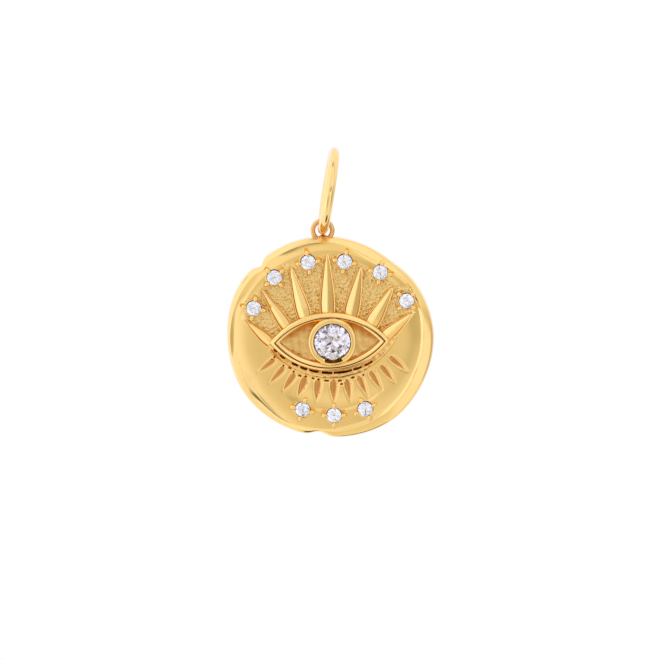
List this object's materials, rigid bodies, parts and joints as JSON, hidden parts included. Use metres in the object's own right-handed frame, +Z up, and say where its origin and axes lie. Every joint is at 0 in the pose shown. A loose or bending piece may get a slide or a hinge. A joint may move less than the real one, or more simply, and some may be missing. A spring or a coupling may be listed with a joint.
{
  "type": "pendant",
  "caption": "Gold-plated coin pendant with a raised almond eye, leaf-shaped rays, engraved lashes and clear round stones, hanging by a small loop from a plain round ring.",
  "frame": {"origin": "inner top of the ring, where a chain carries the pendant", "axes": "+Z up along the hanging pendant, the coin faces -Y, +X to the right seen from the front"},
  "size_m": [0.02, 0.0084, 0.0285],
  "materials": {
    "gold_coin": "polished gold plate with a sandblasted sunk ground",
    "gold_ring": "mirror-polished gold plate",
    "clear_stone": "clear round brilliant, faint grey-lilac",
    "clear_small_stone": "clear small round brilliants"
  },
  "bodies": {
    "ring": {"bail_ring": "gold_ring"},
    "coin": {"coin": "gold_coin", "center_stone": "clear_stone", "accent_stone_1": "clear_small_stone", "accent_stone_2": "clear_small_stone", "accent_stone_3": "clear_small_stone", "accent_stone_4": "clear_small_stone", "accent_stone_5": "clear_small_stone", "accent_stone_6": "clear_small_stone", "accent_stone_7": "clear_small_stone", "accent_stone_8": "clear_small_stone", "accent_stone_9": "clear_small_stone"}
  },
  "joints": [
    {"name": "coin_swing", "type": "hinge", "parent": "ring", "child": "coin", "pos_m": [-0.00148, 0, -0.00684], "axis": [0, 1, 0], "range_deg": [-70, 70]}
  ]
}
